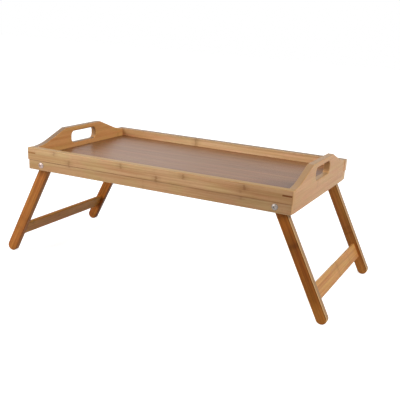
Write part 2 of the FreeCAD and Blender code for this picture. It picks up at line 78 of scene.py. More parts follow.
# The bamboo of each piece: its pale tone, its deep tone and the tone of its knuckles.
UPPER_RAIL_BAMBOO = ((0.59, 0.372, 0.187), (0.457, 0.26, 0.113), (0.25, 0.11, 0.04))
LOWER_RAIL_BAMBOO = ((0.57, 0.364, 0.178), (0.445, 0.252, 0.108), (0.24, 0.105, 0.038))
# The rear rails are paler than the front ones as painted light on their inner faces.
REAR_RAIL_BAMBOO_PAINTED_LIGHT = ((0.82, 0.56, 0.31), (0.66, 0.42, 0.215), (0.36, 0.18, 0.07))
LEFT_BOARD_BAMBOO = ((0.72, 0.39, 0.145), (0.64, 0.32, 0.107), (0.29, 0.12, 0.035))
RIGHT_BOARD_BAMBOO = ((0.62, 0.345, 0.137), (0.545, 0.28, 0.10), (0.29, 0.12, 0.035))
FLOOR_BAMBOO = ((0.238, 0.106, 0.034), (0.158, 0.064, 0.018), (0.09, 0.031, 0.008))
LEG_BAMBOO = {
    "front_left_leg": ((0.54, 0.215, 0.05), (0.33, 0.115, 0.022), (0.13, 0.04, 0.007)),
    "rear_left_leg": ((0.47, 0.165, 0.031), (0.28, 0.088, 0.013), (0.12, 0.033, 0.005)),
    "front_right_leg": ((0.33, 0.11, 0.017), (0.19, 0.054, 0.005), (0.08, 0.02, 0.003)),
    "rear_right_leg": ((0.62, 0.25, 0.06), (0.40, 0.14, 0.027), (0.15, 0.046, 0.008)),
}
LEFT_BAR_BAMBOO = ((0.68, 0.31, 0.06), (0.545, 0.218, 0.036), (0.26, 0.09, 0.02))
RIGHT_BAR_BAMBOO = ((0.71, 0.387, 0.125), (0.525, 0.243, 0.074), (0.30, 0.12, 0.03))
KEY_WOOD = ((0.20, 0.075, 0.028), (0.13, 0.048, 0.017), (0.07, 0.025, 0.009))
FAINT_KEY_WOOD = ((0.43, 0.22, 0.095), (0.33, 0.155, 0.06), (0.2, 0.08, 0.03))

# Tones of the narrow sides and the cut ends. The rails' and boards' narrow sides are
# painted darker as shade on their tops, and the boards' cut ends carry painted shade in the
# hand holes besides their end grain; the legs' are for the right pair, painted light on
# their narrow sides, and the last is a painted highlight on their rounded edges.
RAIL_TOP_SHADE = (0.32, 0.17, 0.034)
REAR_TOP_SHADE = (0.17, 0.09, 0.03)
RAIL_END = (0.60, 0.325, 0.128)
REAR_END = (0.70, 0.46, 0.255)
LEFT_BOARD_EDGE_SHADE = (0.16, 0.09, 0.04)
RIGHT_BOARD_EDGE_SHADE = (0.32, 0.187, 0.085)
BOARD_END_GRAIN_AND_SHADE = (0.31, 0.155, 0.06)
LEG_EDGE_LIGHT = (0.34, 0.19, 0.095)
LEG_ARRIS_HIGHLIGHT = (0.85, 0.53, 0.24)

# Steel: its colour at the left end, paler and pinker as painted light, and at the right end
# of the tray, and its roughness.
LEFT_STEEL_PAINTED_LIGHT = (0.42, 0.322, 0.287)
RIGHT_STEEL = (0.27, 0.235, 0.212)
STEEL_ROUGHNESS = 0.38

# Width and thickness of the strips that each piece is laminated from.
UPPER_RAIL_STRIPS = (0.0215, 0.020)
LOWER_RAIL_STRIPS = (0.036, 0.020)
BOARD_STRIPS = (0.0125, 0.020)
FLOOR_STRIPS = (0.0105, 0.02)
LEG_STRIPS = (0.0195, 0.0053)
BAR_STRIPS = (0.0068, 0.02)
KEY_STRIPS = (0.03, 0.03)
DOWEL_STRIPS = (0.003, 0.003)

# The number that sets each kind of piece's strips apart from the others'; the step is
# added for the right legs and taken away for the left ones.
RAIL_SEED = 3.0
BOARD_SEED = 11.0
FLOOR_SEED = 21.0
LEG_SEED = 31.0
LEG_SEED_STEP = 5
BAR_SEED = 41.0
KEY_SEED = 51.0
DOWEL_SEED = 61.0

# Knuckles at known places, by piece: the place along the grain, the stretch across the
# grain from low to high, and the strength.
ALL_ACROSS = (-1.0, 1.0)
MARKS = {
    "front_upper_rail": ((-0.192, -0.0085, 0.002, 0.6), (-0.161, -0.022, -0.012, 0.7),
                         (-0.055, -0.0107, -0.0013, 0.75), (0.0135, -0.022, -0.0122, 0.9),
                         (0.0635, -0.0102, -0.0016, 0.85), (0.170, -0.011, -0.0023, 0.9),
                         (0.164, -0.017, -0.011, 0.5)),
    "front_lower_rail": ((-0.161, -0.0035, 0.001, 0.6), (0.0135, -0.003, 0.001, 0.4),
                         (0.165, -0.006, 0.0, 0.45)),
    "rear_upper_rail": ((-0.062, -0.016, 0.002, 0.8), (-0.0585, -0.016, 0.002, 0.5)),
    "rear_lower_rail": ((0.11, -0.012, -0.002, 0.5),),
    "front_right_leg": ((-0.069, -0.011, 0.011, 0.7),),
    "rear_right_leg": ((-0.108, -0.011, 0.011, 0.3),),
    "front_left_leg": ((-0.125, -0.011, 0.011, 0.25),),
    "right_crossbar": ((0.002, *ALL_ACROSS, 0.5), (0.07, *ALL_ACROSS, 0.3)),
}

# Tints that a piece's colour is multiplied by, many of them painted light and shade: a
# colour, then each range over which it comes in, along or across the grain. Where there are
# two, it comes in where they meet.
PAINTED_LIGHT_AND_TINTS = {
    # Front upper rail: a painted highlight along the top of its face, and painted shade
    # towards its right end.
    "front_upper_rail": (((1.12, 1.19, 1.28), ("across", -0.008, -0.004)),
                         ((0.81, 0.74, 0.69), ("along", 0.09, 0.20))),
    # Front lower rail: painted shade towards its right end.
    "front_lower_rail": (((0.83, 0.81, 0.81), ("along", 0.04, 0.18)),),
    # Rear upper rail: redder at its left end and paler from the middle on; painted shade
    # towards the right board, painted light on a narrow strip at that board, and painted
    # shade along the top of its face.
    "rear_upper_rail": (((0.99, 0.88, 0.80), ("along", -0.1, -0.2)),
                        ((1.08, 1.08, 1.12), ("along", -0.12, 0.0)),
                        ((0.94, 0.87, 0.83), ("along", 0.10, 0.2)),
                        ((1.3, 1.5, 2.0), ("along", 0.236, 0.239)),
                        ((0.80, 0.83, 0.80), ("across", -0.008, -0.001))),
    "right_end_board": (((1.04, 1.09, 1.2), ("along", 0.09, 0.13)),),
    # Tray floor: painted shade in its front right corner, beside the right board.
    "tray_floor": (((0.6, 0.5, 0.35), ("along", 0.12, 0.2), ("across", 0.125, 0.085)),),
    "front_right_leg": (((1.35, 1.5, 1.9), ("along", -0.155, -0.185)),
                        ((1.2, 1.3, 1.2), ("along", -0.06, -0.015))),
}

# Streaks in the bamboo: how fast they change along and across the grain, and the detail.
SOFT_STREAKS = (5.0, 260.0, 3.0)
FINE_STREAKS = (26.0, 1500.0, 2.0)
FLECKS = (110.0, 2600.0, 0.0)
PATCHES = (9.0, 120.0, 2.0)
BLUSH = (22.0, 50.0, 1.0)

# How far the streaks of one strip may be slid along from those of the next.
STRIP_SHIFT = 40.0

# Ranges: from where to where a value comes in, and what it gives at these two places
# where that isn't 0 and 1.
TONE_RANGE = (0.28, 0.72)
FINE_RANGE = (0.35, 0.75, 0.0, 0.3)
FLECK_RANGE = (0.66, 0.76)
PATCH_RANGE = (0.42, 0.66)
BLUSH_RANGE = (0.36, 0.64)
KNUCKLE_LINE = (0.0004, 0.0016, 1.0, 0.0)
KNUCKLE_HALO = (0.001, 0.007, 0.45, 0.0)
STRIPS_WITH_KNUCKLES = (0.35, 0.4)
GLUE_LINE = (0.00005, 0.0003, 1.0, 0.0)
END_GRAIN_RANGE = (0.75, 0.9)
END_DOT_RANGE = (0.22, 0.42, 0.35, 0.0)

# The knuckles' waver across a strip, the size of the end grain's dots, and how strongly
# each part of the pattern shows in colour, roughness and height.
KNUCKLE_WAVES = 180.0
KNUCKLE_WAVER = 0.003
END_DOTS = 1400.0
PATCH_TINT = (0.95, 0.86, 0.82)
GREEN_BLUSH = (0.985, 1.015, 0.94)
RED_BLUSH = (1.03, 0.965, 0.98)
FLECK_SHARE = 0.3
GLUE_SHARE = 0.25
END_SHARE = 0.7
WOOD_ROUGHNESS = 0.36
FINE_ROUGHNESS = 0.14
END_ROUGHNESS = 0.12
FINE_HEIGHT = 0.5
FLECK_HEIGHT = 0.4
KNUCKLE_HEIGHT = 0.6
WOOD_BUMP = {"Strength": 0.25, "Distance": 0.00025}

# Knuckles at known places: their waver, then from where to where the dark core and the
# soft halo fade at size 1, with their strength, and how softly they stop across the grain.
MARK_WAVES = (60.0, 400.0)
MARK_WAVER = (0.25, 0.75, -0.0012, 0.0012)
MARK_CORE = (0.0004, 0.0034, 0.8)
MARK_HALO = (0.001, 0.010, 0.35)
MARK_FADE = 0.002

# Dark lines, where two pieces or strips meet deepened by painted shade and elsewhere of
# painted shade alone, and the tones of the sides, as ranges. The ranges of a side go by
# how squarely it faces that way.
JOINT_SHADE_CHANGE = 12.0
JOINT_SHADE_STRENGTH = (0.35, 0.6, 0.425, 0.85)
JOINT_SHADE_LINE = (0.0002, 0.0011, 1.0, 0.0)
ARRIS_RANGE = (0.25, 0.5, 0.0, 0.9)
EDGE_RANGE = (0.6, 0.95, 0.0, 0.9)
EDGE_BESIDE_ARRIS = (0.8, 0.95, 0.0, 0.9)
END_RANGE = (0.5, 0.9, 0.0, 0.9)

# A dark line of painted shade runs down the face of each right leg, beside its outer edge.
LEG_SHADE_LINE = 8.2 * MM

# The steel's fine grit, its clouds, and the range over which the left end's painted light
# turns to the right end's colour.
GRIT = 900.0
GRIT_ROUGHNESS = 0.18
STEEL_CLOUDS = 220.0
CLOUD_RANGE = (0.35, 0.7)
CLOUD_TINT = (0.8, 0.8, 0.8)
STEEL_PAINTED_LIGHT_RANGE = (-0.1, 0.1)
STEEL_BUMP = {"Strength": 0.12, "Distance": 0.00005}

# The bolts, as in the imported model. BOLT_FACE is how far from the tray's middle a head
# sits. The dome's rings are radii in millimetres; the rim is heights and how far in from
# the head's widest, in millimetres. The threads' root and crest are shares of the pitch.
HEAD_WIDTH = 10.5 * MM
HEAD_HEIGHT = 2.4 * MM
SOCKET_WIDTH = 4.0 * MM
SOCKET_DEPTH = 1.6 * MM
MOUTH_WIDTH = 4.4 * MM
MOUTH_RADIUS = 2.3 * MM
MOUTH_DEPTH = 0.15 * MM
DOME_RINGS = (2.6, 3.0, 3.4, 3.8, 4.2, 4.6, 4.9)
HEAD_RIM = ((-0.42, 0.1), (-0.25, 0.0), (-0.06, 0.04), (0.0, 0.15))
BOLT_RADIUS = 3.0 * MM
BOLT_LENGTH = 31.7 * MM
BOLT_FACE = 148.8 * MM
BOLT_TIP = 0.6 * MM
THREADS = 7
THREAD_PITCH = 1.0 * MM
THREAD_DEPTH = 0.3 * MM
THREAD_ROOT = 0.4
THREAD_CREST = 0.9

# The nuts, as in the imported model. NUT_FACE is how far from the tray's middle a nut
# sits. The other rows are heights in millimetres, each with how far the hexagon's corners
# and the collar are turned down, and how far the bore stands off the bolt.
NUT_WIDTH = 10.0 * MM
NUT_FACE = 123.1 * MM
NUT_CORNERS = ((0.0, 0.7), (0.2, 0.35), (0.42, 0.0), (3.2, 0.0), (3.45, 0.35), (3.7, 0.8))
NUT_COLLAR = ((3.75, 0.0), (4.75, 0.0), (5.0, 0.3))
NUT_BORE = ((5.0, 0.7), (4.7, 0.4), (4.6, 0.0), (0.3, 0.0), (0.0, 0.3))
COLLAR_INSET = 0.6 * MM

# Points round a bolt or nut, the angle from which an edge stays sharp, and how far each
# may be turned on its axis, with the seeds of these turns.
RING_POINTS = 60
SHARP_ANGLE = math.radians(32.0)
LARGEST_TURN = math.pi / 3
BOLT_TURN_SEED = 4
NUT_TURN_SEED = 9

# The camera stands right of the front; its picture is square. The angles are its
# azimuth, its elevation and its roll in degrees; the lens and sensor are in millimetres.
CAMERA_PLACE = (0.5585, -1.0852, 0.4565)
CAMERA_ANGLES = (23.919, 18.627, 3.518)
CAMERA_LENS = 60.94
CAMERA_SHIFT = (-0.06301, 0.10225)
SENSOR_WIDTH = 36.0

# The studio: how strongly the white surround lights the object, and the pale floor,
# which turns white from GLOW_RANGE's first distance to its second.
WORLD_LEVEL = 0.15
WHITE = (1.0, 1.0, 1.0, 1.0)
PAPER = (0.6, 0.6, 0.6, 1.0)
STUDIO_HALF = 6.0
GLOW_RANGE = (0.8, 2.5, 0.85, 1.0)

# Each lamp's name, place, aim, size and power.
LAMPS = (
    ("lamp_front_left", (-1.1, -1.3, 1.05), (-0.1, 0.0, 0.12), 1.0, 25.0),
    ("lamp_right", (1.8, -0.25, 2.0), (0.1, 0.0, 0.15), 0.9, 38.5),
    ("lamp_top", (0.0, 0.2, 2.0), (0.0, 0.0, 0.15), 1.6, 5.0),
    ("lamp_back_left", (-1.2, 1.2, 1.4), (0.0, 0.0, 0.15), 1.2, 5.0),
)

# The sockets of a colour Mix node: its share, its two colours and its result; and those
# of a Random Value node's smallest and largest number and its result.
MIX_SHARE, MIX_A, MIX_B, MIX_RESULT = 0, 6, 7, 2
RANDOM_LEAST, RANDOM_MOST, RANDOM_RESULT = 2, 3, 1


class Recipe:
    """Writes a node tree: each call puts down one node and feeds its inputs."""

    def __init__(self, tree):
        self.tree = tree

    def feed(self, socket, value):
        if isinstance(value, bpy.types.NodeSocket):
            self.tree.links.new(value, socket)
        else:
            socket.default_value = value

    def put(self, kind, inputs=None, **settings):
        node = self.tree.nodes.new(kind)
        for name, value in settings.items():
            setattr(node, name, value)
        for name, value in (inputs or {}).items():
            self.feed(node.inputs[name], value)
        return node

    def math(self, operation, *values, clamp=False):
        node = self.put("ShaderNodeMath", operation=operation, use_clamp=clamp)
        for socket, value in zip(node.inputs, values):
            self.feed(socket, value)
        return node.outputs[0]

    def split(self, vector):
        return self.put("ShaderNodeSeparateXYZ", {"Vector": vector}).outputs

    def join(self, x, y, z):
        return self.put("ShaderNodeCombineXYZ", {"X": x, "Y": y, "Z": z}).outputs[0]

    def band(self, value, low, high, bottom=0.0, top=1.0):
        """Ease from bottom to top while the value goes from low to high."""
        node = self.put("ShaderNodeMapRange", {
            "Value": value, "From Min": low, "From Max": high,
            "To Min": bottom, "To Max": top}, interpolation_type="SMOOTHSTEP")
        return node.outputs["Result"]

    def noise(self, vector, scale=1.0, detail=2.0):
        node = self.put("ShaderNodeTexNoise", {
            "Vector": vector, "Scale": scale, "Detail": detail})
        return node.outputs["Fac"]

    def mix(self, share, a, b, blend="MIX"):
        node = self.put("ShaderNodeMix", data_type="RGBA", blend_type=blend)
        for index, value in ((MIX_SHARE, share), (MIX_A, a), (MIX_B, b)):
            if isinstance(value, tuple):
                value = (*value, 1.0)
            self.feed(node.inputs[index], value)
        return node.outputs[MIX_RESULT]

    def seen(self):
        """Give 1 where the camera, a reflection or a refraction looks, and 0 elsewhere."""
        rays = self.put("ShaderNodeLightPath").outputs
        return self.math("MAXIMUM", rays["Is Camera Ray"], self.math(
            "MAXIMUM", rays["Is Glossy Ray"], rays["Is Transmission Ray"]))


def start_nodes(owner):
    """Empty the node tree of a material or world, ready to be written."""
    owner.use_nodes = True
    owner.node_tree.nodes.clear()
    return Recipe(owner.node_tree)


def bamboo_group():
    """Make the pattern of laminated bamboo: strips, fibres, knuckles, end grain."""
    tree = bpy.data.node_groups.new("laminated bamboo", "ShaderNodeTree")
    for way, kind, names in (
            ("INPUT", "NodeSocketVector", ("Grain Point", "Grain Normal")),
            ("INPUT", "NodeSocketFloat", (
                "Strip Width", "Strip Thickness", "Knuckle Spacing", "Knuckle Strength",
                "Extra Knuckles", "Tone Spread", "Seed")),
            ("INPUT", "NodeSocketColor", ("Pale", "Deep", "Knuckle Tone")),
            ("OUTPUT", "NodeSocketColor", ("Color",)),
            ("OUTPUT", "NodeSocketFloat", ("Roughness", "Height"))):
        for name in names:
            tree.interface.new_socket(name, in_out=way, socket_type=kind)

    make = Recipe(tree)
    given = make.put("NodeGroupInput").outputs
    along, across, through = make.split(given["Grain Point"])

    # Which strip a point is in, and four numbers that belong to that strip.
    place = make.math("ADD", make.math("DIVIDE", across, given["Strip Width"]), 0.5)
    layer = make.math("ADD", make.math("DIVIDE", through, given["Strip Thickness"]), 0.5)
    strip = make.join(make.math("FLOOR", place), make.math("FLOOR", layer), given["Seed"])
    lot = make.put("ShaderNodeTexWhiteNoise", {"Vector": strip}, noise_dimensions="3D")
    shift, start, keep = make.split(lot.outputs["Color"])
    moved = make.math("ADD", along, make.math("MULTIPLY", shift, STRIP_SHIFT))

    def streaks(lengthwise, crosswise, detail):
        point = make.join(make.math("MULTIPLY", moved, lengthwise),
                          make.math("MULTIPLY", across, crosswise),
                          make.math("MULTIPLY", through, crosswise))
        return make.noise(point, detail=detail)

    # Fibres: long soft streaks, finer ones, and short dark flecks.
    soft = streaks(*SOFT_STREAKS)
    fine = streaks(*FINE_STREAKS)
    fleck = make.band(streaks(*FLECKS), *FLECK_RANGE)

    # Knuckles: a thin dark line with a soft halo, once in a while on each strip.
    spacing = given["Knuckle Spacing"]
    turn = make.math("ADD", make.math("DIVIDE", along, spacing), start)
    off = make.math("SUBTRACT", make.math("FRACT", turn), 0.5)
    wave = make.noise(make.join(start, make.math("MULTIPLY", across, KNUCKLE_WAVES), 0.0),
                      detail=1.0)
    far = make.math("ABSOLUTE", make.math("ADD", make.math("MULTIPLY", off, spacing),
                                          make.math("MULTIPLY", wave, KNUCKLE_WAVER)))
    line = make.band(far, *KNUCKLE_LINE)
    halo = make.band(far, *KNUCKLE_HALO)
    kept = make.band(keep, *STRIPS_WITH_KNUCKLES)
    own = make.math("MULTIPLY", make.math("MAXIMUM", line, halo), kept)
    own = make.math("MULTIPLY", own, given["Knuckle Strength"])
    knuckle = make.math("MAXIMUM", own, given["Extra Knuckles"])

    # Glue lines between the strips.
    side = make.math("MULTIPLY", make.math("PINGPONG", place, 0.5), given["Strip Width"])
    face = make.math("MULTIPLY", make.math("PINGPONG", layer, 0.5),
                     given["Strip Thickness"])
    glue = make.band(make.math("MINIMUM", side, face), *GLUE_LINE)

    # Colour: each strip's own tone, then patches, blush, fibres, glue and knuckles.
    tone = make.math("MULTIPLY", make.math("SUBTRACT", lot.outputs["Value"], 0.5),
                     given["Tone Spread"])
    tone = make.math("ADD", tone, make.band(soft, *TONE_RANGE), clamp=True)
    colour = make.mix(tone, given["Deep"], given["Pale"])
    patch = make.band(streaks(*PATCHES), *PATCH_RANGE)
    colour = make.mix(patch, colour, PATCH_TINT, "MULTIPLY")
    blush = make.mix(make.band(streaks(*BLUSH), *BLUSH_RANGE), GREEN_BLUSH, RED_BLUSH)
    colour = make.mix(1.0, colour, blush, "MULTIPLY")
    colour = make.mix(make.band(fine, *FINE_RANGE), colour, given["Deep"])
    for share in (make.math("MULTIPLY", fleck, FLECK_SHARE),
                  make.math("MULTIPLY", glue, GLUE_SHARE), knuckle):
        colour = make.mix(share, colour, given["Knuckle Tone"])

    # End grain: dark dots of fibre bundles, where a side faces along the grain.
    facing = make.split(given["Grain Normal"])[0]
    end = make.band(make.math("ABSOLUTE", facing), *END_GRAIN_RANGE)
    cells = make.put("ShaderNodeTexVoronoi", {
        "Vector": make.join(0.0, across, through), "Scale": END_DOTS}, feature="F1")
    dots = make.band(cells.outputs["Distance"], *END_DOT_RANGE)
    cut = make.mix(dots, make.mix(0.5, given["Deep"], given["Pale"]), given["Knuckle Tone"])
    colour = make.mix(make.math("MULTIPLY", end, END_SHARE), colour, cut)

    rough = make.math("ADD", make.math("MULTIPLY", fine, FINE_ROUGHNESS), WOOD_ROUGHNESS)
    rough = make.math("ADD", rough, make.math("MULTIPLY", end, END_ROUGHNESS))
    height = make.math("SUBTRACT", make.math("MULTIPLY", fine, FINE_HEIGHT), glue)
    height = make.math("SUBTRACT", height, make.math("MULTIPLY", fleck, FLECK_HEIGHT))
    height = make.math("ADD", height, make.math("MULTIPLY", line, KNUCKLE_HEIGHT))
    make.put("NodeGroupOutput", {"Color": colour, "Roughness": rough, "Height": height})
    return tree


BAMBOO = bamboo_group()


def grain_frame(make, grain, origin, lean):
    """Give a piece's points and normals as along, across and through its grain.

    grain names the three axes in that order; lean turns a leaning piece upright.
    """
    spot = make.put("ShaderNodeTexCoord").outputs
    place = make.put("ShaderNodeVectorMath", {0: spot["Object"], 1: origin},
                     operation="SUBTRACT").outputs[0]
    grained = []
    for vector in (place, spot["Normal"]):
        if lean:
            vector = make.put("ShaderNodeVectorRotate", {
                "Vector": vector, "Angle": lean}, rotation_type="Y_AXIS").outputs[0]
        axes = dict(zip("XYZ", make.split(vector)))
        grained.append(make.join(*(axes[axis] for axis in grain)))
    return grained


def mark_strength(make, point, marks, size):
    """Give the strength of a piece's marks, the knuckles at known places."""
    along, across, through = make.split(point)
    wander = make.noise(make.join(make.math("MULTIPLY", along, MARK_WAVES[0]),
                                  make.math("MULTIPLY", across, MARK_WAVES[1]), through))
    along = make.math("ADD", along, make.band(wander, *MARK_WAVER))
    total = None
    for place, low, high, strength in marks:
        far = make.math("ABSOLUTE", make.math("SUBTRACT", along, place))
        core, halo = (make.band(far, start, stop * size, most * strength, 0.0)
                      for start, stop, most in (MARK_CORE, MARK_HALO))
        inside = make.math(
            "MULTIPLY", make.band(across, low - MARK_FADE, low + MARK_FADE),
            make.band(across, high - MARK_FADE, high + MARK_FADE, 1.0, 0.0))
        one = make.math("MULTIPLY", make.math("MAXIMUM", core, halo), inside)
        total = one if total is None else make.math("MAXIMUM", total, one)
    return total


def bamboo(node, colours, grain, strips, seed, origin=(0, 0, 0), lean=0.0, spread=0.7,
           knuckles=0.6, spacing=0.26, mark_size=1.0, gloss=0.06, gloss_roughness=0.3,
           shine=0.2, joint_shade_lines=(), edge=None, arris_highlight=None, end=None):
    """Make one piece's bamboo finish, with the piece's own marks and tints, and its painted
    light and shade.

    strips are the strips' width and thickness; spread is how much their tones differ;
    knuckles and spacing are the strength and distance of the knuckles by formula, and
    mark_size the size of the marks. seams are places across the grain with a dark line:
    on the rails where two strips meet, deepened by painted shade, and on the right legs
    painted shade alone. gloss and gloss_roughness are the lacquer's, shine the bare wood's.
    edge, arris and end are the tones of the sides that face across the grain, of the
    rounding beside them and of the sides that face along it; they paint shade on the tops
    of rails and boards and in the hand holes, and light and a highlight on the right legs.
    """
    material = bpy.data.materials.new(node.replace("_", " "))
    make = start_nodes(material)
    point, normal = grain_frame(make, grain, origin, lean)
    pale, deep, knuckle_tone = colours
    pattern = make.put("ShaderNodeGroup", {
        "Grain Point": point, "Grain Normal": normal, "Strip Width": strips[0],
        "Strip Thickness": strips[1], "Knuckle Spacing": spacing,
        "Knuckle Strength": knuckles, "Tone Spread": spread, "Seed": seed,
        "Pale": (*pale, 1), "Deep": (*deep, 1), "Knuckle Tone": (*knuckle_tone, 1),
    }, node_tree=BAMBOO)
    if node in MARKS:
        make.feed(pattern.inputs["Extra Knuckles"],
                  mark_strength(make, point, MARKS[node], mark_size))
    colour = pattern.outputs["Color"]
    along, across, _ = make.split(point)
    # Multiply by the piece's tints, painted light and shade among them.
    for tint_and_painted_light, *ranges in PAINTED_LIGHT_AND_TINTS.get(node, ()):
        share = 1.0
        for direction, start, stop in ranges:
            ramp = make.band(along if direction == "along" else across, start, stop)
            share = make.math("MULTIPLY", share, ramp)
        colour = make.mix(share, colour, tint_and_painted_light, "MULTIPLY")
    # Dark lines across the grain: where two strips meet, deepened by painted shade, and
    # lines of painted shade alone.
    for place in joint_shade_lines:
        away = make.math("ABSOLUTE", make.math("SUBTRACT", across, place))
        share = make.band(make.noise(make.math("MULTIPLY", along, JOINT_SHADE_CHANGE)),
                          *JOINT_SHADE_STRENGTH)
        joint_and_shade = make.math("MULTIPLY", make.band(away, *JOINT_SHADE_LINE), share)
        colour = make.mix(joint_and_shade, colour, knuckle_tone)
    faces_along, faces_across, _ = (make.math("ABSOLUTE", part)
                                    for part in make.split(normal))
    # Tones of the sides: painted shade on tops, end grain with painted shade in hand holes,
    # painted light and a painted highlight on the right legs.
    for tone, facing, span in (
            (arris_highlight, faces_across, ARRIS_RANGE),
            (edge, faces_across, EDGE_BESIDE_ARRIS if arris_highlight else EDGE_RANGE),
            (end, faces_along, END_RANGE)):
        if tone:
            colour = make.mix(make.band(facing, *span), colour, tone)
    bump = make.put("ShaderNodeBump", {"Height": pattern.outputs["Height"], **WOOD_BUMP})
    shader = make.put("ShaderNodeBsdfPrincipled", {
        "Base Color": colour, "Roughness": pattern.outputs["Roughness"],
        "Normal": bump.outputs[0], "Coat Weight": gloss,
        "Coat Roughness": gloss_roughness, "Specular IOR Level": shine})
    make.put("ShaderNodeOutputMaterial", {"Surface": shader.outputs[0]})
    return material


def plated_steel():
    """Make a plated steel finish with fine grit and soft clouds, paler at the left end as
    painted light.
    """
    material = bpy.data.materials.new("plated steel")
    make = start_nodes(material)
    spot = make.put("ShaderNodeTexCoord").outputs["Object"]
    grit = make.noise(spot, scale=GRIT, detail=3.0)
    cloud = make.noise(spot, scale=STEEL_CLOUDS)
    # Painted light: the steel is paler and pinker at the left end of the tray.
    colour = make.mix(make.band(make.split(spot)[0], *STEEL_PAINTED_LIGHT_RANGE), LEFT_STEEL_PAINTED_LIGHT, RIGHT_STEEL)
    shade = make.mix(make.band(cloud, *CLOUD_RANGE), colour, CLOUD_TINT, "MULTIPLY")
    rough = make.math("ADD", make.math("MULTIPLY", grit, GRIT_ROUGHNESS), STEEL_ROUGHNESS)
    bump = make.put("ShaderNodeBump", {"Height": grit, **STEEL_BUMP})
    shader = make.put("ShaderNodeBsdfPrincipled", {
        "Base Color": shade, "Roughness": rough, "Metallic": 1.0,
        "Normal": bump.outputs[0]})
    make.put("ShaderNodeOutputMaterial", {"Surface": shader.outputs[0]})
    return material


def finish_node(node, material):
    """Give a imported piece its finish."""
    piece = NODES[node]
    piece.data.materials.clear()
    piece.data.materials.append(material)


def finish_rails():
    """Finish the long rails: strips that run along X, laid over each other in Z."""
    for number, node in enumerate(RAILS):
        low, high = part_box(node)
        front, upper = "front" in node, "upper" in node
        front_bamboo = UPPER_RAIL_BAMBOO if upper else LOWER_RAIL_BAMBOO
        wood = bamboo(node, front_bamboo if front else REAR_RAIL_BAMBOO_PAINTED_LIGHT, "XZY",
                      UPPER_RAIL_STRIPS if upper else LOWER_RAIL_STRIPS,
                      RAIL_SEED + number, origin=(0.0, low.y, high.z), spread=0.2,
                      knuckles=0.12, mark_size=1.35,
                      # A dark line where the upper and lower rails meet, deepened by
                      # painted shade.
                      joint_shade_lines=(low.z - high.z if upper else 0.0,),
                      # The rails' tops are painted darker as shade.
                      edge=RAIL_TOP_SHADE if front else REAR_TOP_SHADE,
                      end=RAIL_END if front else REAR_END)
        finish_node(node, wood)


def finish_boards():
    """Finish the end boards: strips that run along Y, laid over each other in Z."""
    for number, (node, colours, edge) in enumerate((
            ("left_end_board", LEFT_BOARD_BAMBOO, LEFT_BOARD_EDGE_SHADE),
            ("right_end_board", RIGHT_BOARD_BAMBOO, RIGHT_BOARD_EDGE_SHADE))):
        low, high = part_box(node)
        # The boards' tops are painted darker as shade, and their ends and hand holes carry
        # end grain with painted shade.
        wood = bamboo(node, colours, "YZX", BOARD_STRIPS, BOARD_SEED + number,
                      origin=(low.x, 0.0, high.z), spread=0.5, knuckles=0.3,
                      spacing=0.33, edge=edge, end=BOARD_END_GRAIN_AND_SHADE)
        finish_node(node, wood)


def finish_floor():
    """Finish the floor: narrow strips that run along X under a glossy lacquer."""
    low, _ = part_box("tray_floor")
    wood = bamboo("tray_floor", FLOOR_BAMBOO, "XYZ", FLOOR_STRIPS, FLOOR_SEED,
                  origin=(0.0, low.y, low.z), spread=0.55, knuckles=0.25, spacing=0.31,
                  gloss=0.25, gloss_roughness=0.24)
    finish_node("tray_floor", wood)


def finish_legs():
    """Finish legs and crossbars; each leans with its frame."""
    for side, way in (("left", -1), ("right", 1)):
        right = side == "right"
        lean = way * LEG_SPLAY
        for number, end in enumerate(("front", "rear")):
            node = f"{end}_{side}_leg"
            wood = bamboo(node, LEG_BAMBOO[node], "ZXY", LEG_STRIPS,
                          LEG_SEED + number + LEG_SEED_STEP * way, origin=PIVOT[side],
                          lean=lean, spread=0.6, knuckles=0.35, spacing=0.22,
                          mark_size=3.0, gloss=0.0, shine=0.1,
                          # The right legs get a line of painted shade, painted light on
                          # their narrow sides and a painted highlight on their rounded
                          # edges.
                          joint_shade_lines=(LEG_SHADE_LINE,) if right else (),
                          edge=LEG_EDGE_LIGHT if right else None,
                          arris_highlight=LEG_ARRIS_HIGHLIGHT if right else None)
            finish_node(node, wood)
        node = f"{side}_crossbar"
        wood = bamboo(node, RIGHT_BAR_BAMBOO if right else LEFT_BAR_BAMBOO, "YZX",
                      BAR_STRIPS, BAR_SEED + way, origin=PIVOT[side], lean=lean,
                      spread=0.6, knuckles=0.45, spacing=0.2, gloss=0.0, shine=0.1)
        finish_node(node, wood)


def finish_small_wood():
    """Finish the corner keys and the dowels."""
    for end in ("front", "rear"):
        for side, colours in (("left", FAINT_KEY_WOOD), ("right", KEY_WOOD)):
            node = f"{end}_{side}_corner_key"
            wood = bamboo(node, colours, "XYZ", KEY_STRIPS, KEY_SEED + len(node),
                          knuckles=0.0, gloss=0.0, shine=0.05)
            finish_node(node, wood)
    wood = bamboo("corner_dowels", RIGHT_BOARD_BAMBOO, "YXZ", DOWEL_STRIPS, DOWEL_SEED,
                  knuckles=0.0)
    finish_node("corner_dowels", wood)


def hexagon(flats, widest=1.0):
    """Give the radius, by angle, of a hexagon with its corners turned down."""
    sixth = math.pi / 3

    def radius(turn):
        return min(flats / 2 / math.cos((turn + sixth / 2) % sixth - sixth / 2), widest)

    return radius


